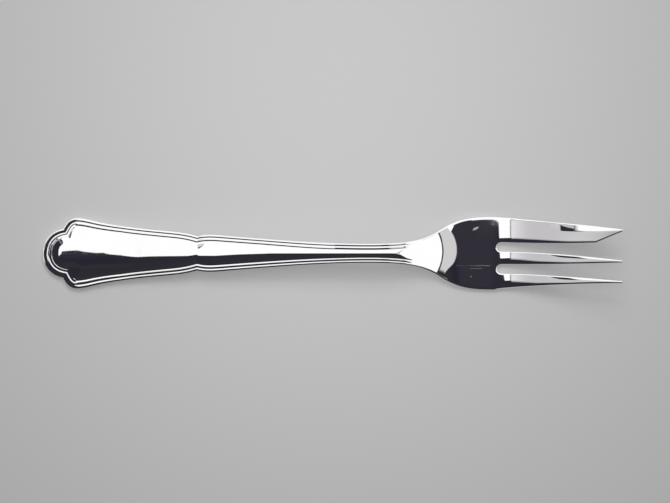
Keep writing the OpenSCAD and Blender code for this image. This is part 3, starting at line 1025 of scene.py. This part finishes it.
def noise(tree, scale, turn=0.0, detail=2.0):
    """Noise over the object, with its scales along the three axes in waves a millimetre."""
    coordinates = tree.nodes.new("ShaderNodeTexCoord")
    turned = tree.nodes.new("ShaderNodeMapping")
    turned.inputs["Rotation"].default_value = (0, 0, math.radians(turn))
    tree.links.new(coordinates.outputs["Object"], turned.inputs["Vector"])
    scaled = tree.nodes.new("ShaderNodeMapping")
    scaled.inputs["Scale"].default_value = [k / MM for k in scale]
    tree.links.new(turned.outputs[0], scaled.inputs["Vector"])
    made = tree.nodes.new("ShaderNodeTexNoise")
    made.inputs["Scale"].default_value = 1.0
    made.inputs["Detail"].default_value = detail
    tree.links.new(scaled.outputs[0], made.inputs["Vector"])
    return Value(tree, made.outputs[0])


def palm_marks(tree):
    """Two long scratches, a dent and a smear on the palm's upper side."""
    x, y, z = (value * (1 / MM) for value in place_values(tree, "Object"))
    broken = noise(tree, BREAKS) * BREAK_DEPTH + (1 - BREAK_DEPTH)
    marks = None
    for x0, x1, y0 in LONG_SCRATCHES:
        line = (-(y - y0).size()).step(-LONG_HALF_W[0], -LONG_HALF_W[1])
        line = line * x.step(x0, x0 + LONG_FADE) * (-x).step(-x1, LONG_FADE - x1) * broken
        marks = line if marks is None else marks.most(line)
    dx, dy = x - DENT[0], y - DENT[1]
    dent = (-(dx * dx + dy * dy)).step(-DENT[2] ** 2, 0)
    dx, dy = x - SMEAR[0], y - SMEAR[1]
    cos, sin = SMEAR_TURN
    along = (dx * cos + dy * sin) * (1 / SMEAR[2])
    across = (dy * cos - dx * sin) * (1 / SMEAR[3])
    smear = (-(along * along + across * across)).step(*SMEAR_STEP)
    return marks.most(dent).most(smear * SMEAR_SHARE) * z.step(*PALM_Z)


def make_steel():
    material = bpy.data.materials.new("polished_steel")
    material.use_nodes = True
    tree = material.node_tree
    shader = tree.nodes["Principled BSDF"]
    shader.inputs["Metallic"].default_value = 1.0
    clouds = noise(tree, CLOUDS, turn=CLOUD_TURN, detail=4.0)
    grain = noise(tree, GRAIN, detail=3.0)
    scratches = None
    for turn in SCRATCH_TURNS:
        lines = noise(tree, SCRATCHES, turn).step(*SCRATCH_STEP)
        scratches = lines if scratches is None else scratches.most(lines)
    marks = palm_marks(tree)
    roughness = clouds.step(*CLOUD_STEP) * CLOUD_ROUGHNESS + grain * GRAIN_ROUGHNESS
    roughness = roughness + scratches * SCRATCH_ROUGHNESS + marks * MARK_ROUGHNESS
    tree.links.new((roughness + PLAIN_ROUGHNESS).socket, shader.inputs["Roughness"])
    tree.links.new(mixed(tree, clouds, *TINTS), shader.inputs["Base Color"])
    waves = noise(tree, WAVES, detail=1.0)
    height = waves * WAVE_HEIGHT - scratches * SCRATCH_DEPTH - marks * SCRATCH_DEPTH
    bump = tree.nodes.new("ShaderNodeBump")
    bump.inputs["Strength"].default_value = 1.0
    bump.inputs["Distance"].default_value = MM
    tree.links.new(height.socket, bump.inputs["Height"])
    tree.links.new(bump.outputs[0], shader.inputs["Normal"])
    return material


# The two soft lights over the floor: name, place, both sizes and power
LIGHTS = (
    ("overhead", (0.0, 0.28, 1.0), 0.7, 0.6, 2.95),
    ("from_above", (0.0, 0.55, 0.83), 0.4, 0.4, 2.36),
)


def make_light(name, place, size, size_y, power):
    light = bpy.data.lights.new(name, "AREA")
    light.shape = "RECTANGLE"
    light.size = size
    light.size_y = size_y
    light.energy = power
    made = bpy.data.objects.new(name, light)
    made.location = place
    made.rotation_euler = (-math.atan2(place[1], place[2]), 0, 0)
    made.visible_glossy = False
    bpy.context.scene.collection.objects.link(made)


# The camera looks straight down from far away. The scale holds at the height of FACE_Z
CAMERA_FAR = 3.0
CAMERA_X = 0.0007
CAMERA_Y = 0.00047
FACE_Z = 0.005
FRAME_PX = 670
MM_PER_PX = 0.2588
SENSOR_W = 36
CLIP = (0.1, 10)


def make_camera():
    data = bpy.data.cameras.new("camera")
    data.sensor_width = SENSOR_W
    data.lens = SENSOR_W * CAMERA_FAR / (FRAME_PX * MM_PER_PX * MM)
    data.clip_start, data.clip_end = CLIP
    camera = bpy.data.objects.new("camera", data)
    camera.location = (CAMERA_X, CAMERA_Y, FACE_Z + CAMERA_FAR)
    bpy.context.scene.collection.objects.link(camera)
    bpy.context.scene.camera = camera


make_camera()
make_floor()
make_card("white_card", CARD_EDGE, WHITE)
make_card("grey_card", GREY_CARD_EDGE, GREY_CARD)
make_world()
for values in LIGHTS:
    make_light(*values)
fork = make_fork()
fork.data.materials.append(make_steel())
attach(fork, "root")
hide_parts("fork")

bpy.context.scene.view_settings.view_transform = "Standard"
